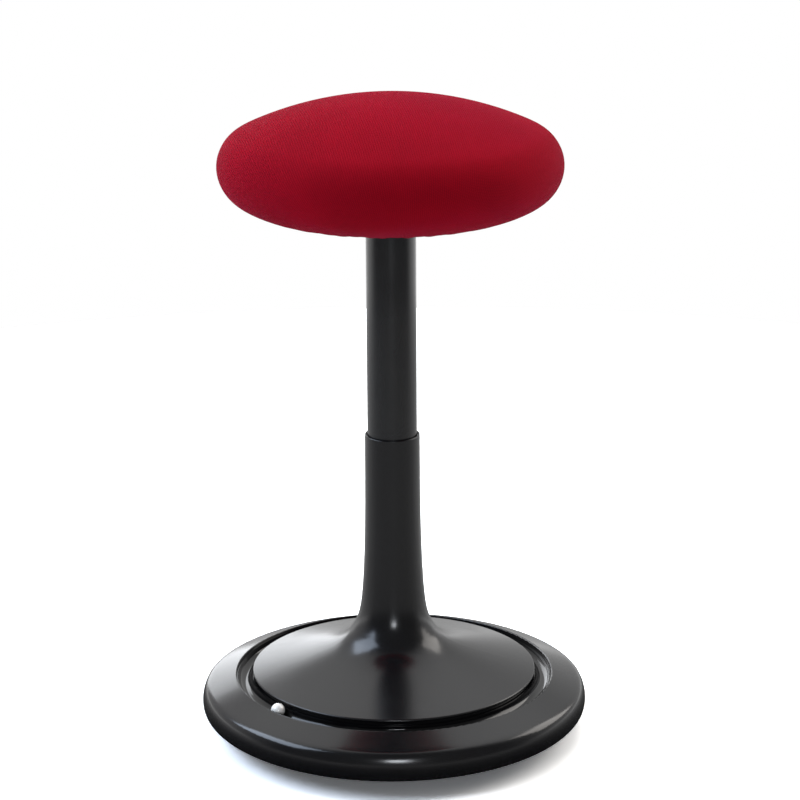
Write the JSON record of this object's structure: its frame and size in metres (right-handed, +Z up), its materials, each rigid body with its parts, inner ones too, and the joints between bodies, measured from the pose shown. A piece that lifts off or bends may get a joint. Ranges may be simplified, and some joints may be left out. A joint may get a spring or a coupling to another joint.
{
  "type": "wobble stool",
  "caption": "Round upholstered active stool: swivelling, height-adjustable seat on a trumpet pedestal that rocks on a domed sole, with a ball rolling in a channel round its foot.",
  "frame": {"origin": "centre of the flat middle of the rubber sole, on the floor, under the axis of the column", "axes": "+Z up along the column; +Y towards the back, where the release lever points; +X to the right"},
  "size_m": [0.3944, 0.3944, 0.6563],
  "materials": {
    "sole_rubber": "matte",
    "black_moulding": "matte",
    "black_ring": "satin",
    "plate_steel": "satin",
    "cast_ballast": "matte",
    "zinc_steel": "satin",
    "track_moulding": "gloss",
    "bright_steel": "polished",
    "black_pedestal": "satin",
    "bush_plastic": "matte",
    "spring_steel": "satin",
    "black_tube": "satin",
    "cast_alloy": "satin",
    "foam": "matte",
    "red_fabric": "matte"
  },
  "bodies": {
    "base": {"rubber_sole": "sole_rubber", "rocker_dish": "black_moulding", "base_ring": "black_ring", "base_plate": "plate_steel", "weight_ring": "cast_ballast", "weight_bolts": "zinc_steel", "ball_track": "track_moulding", "pedestal": "black_pedestal", "pedestal_screws": "zinc_steel", "ring_screws": "zinc_steel", "hub_cup": "plate_steel", "upper_bush": "bush_plastic", "lower_bush": "bush_plastic", "bearing_lower_race": "bright_steel", "bearing_balls": "bright_steel", "bearing_cage": "bush_plastic"},
    "ball": {"track_ball": "bright_steel"},
    "rod": {"bearing_upper_race": "bright_steel", "buffer": "sole_rubber", "piston_rod": "bright_steel", "piston": "bush_plastic", "piston_seal": "sole_rubber", "rod_washer": "zinc_steel", "rod_clip": "spring_steel", "piston_nut": "zinc_steel"},
    "column": {"seat_tube": "black_tube", "gas_cylinder": "black_tube", "cylinder_gland": "bush_plastic", "cylinder_ring": "bush_plastic", "seat_hub": "cast_alloy", "lever_pin": "zinc_steel", "seat_shell": "black_moulding", "seat_screws": "zinc_steel", "seat_foam": "foam", "seat_cover": "red_fabric", "underside_cover": "black_moulding"},
    "release_lever": {"release_lever": "plate_steel", "lever_grip": "black_moulding"},
    "valve_pin": {"valve_pin": "bright_steel"}
  },
  "joints": [
    {"name": "ball_roll", "type": "hinge", "parent": "base", "child": "ball", "pos_m": [0, 0, 0], "axis": [0, 0, 1], "continuous": true},
    {"name": "seat_swivel", "type": "hinge", "parent": "base", "child": "rod", "pos_m": [0, 0, 0], "axis": [0, 0, 1], "continuous": true},
    {"name": "height_slide", "type": "slide", "parent": "rod", "child": "column", "axis": [0, 0, 1], "range_m": [-0.19, 0]},
    {"name": "lever_tilt", "type": "hinge", "parent": "column", "child": "release_lever", "pos_m": [0, 0.024, 0.552], "axis": [1, 0, 0], "range_deg": [0, 6], "stiffness_Nm_per_rad": 1, "springref_deg": -14.32},
    {"name": "valve_press", "type": "slide", "parent": "column", "child": "valve_pin", "axis": [0, 0, -1], "range_m": [0, 0.0028]}
  ],
  "couplings": [
    {"joint": "valve_press", "follows": "lever_tilt", "m_per_rad": 0.026}
  ]
}
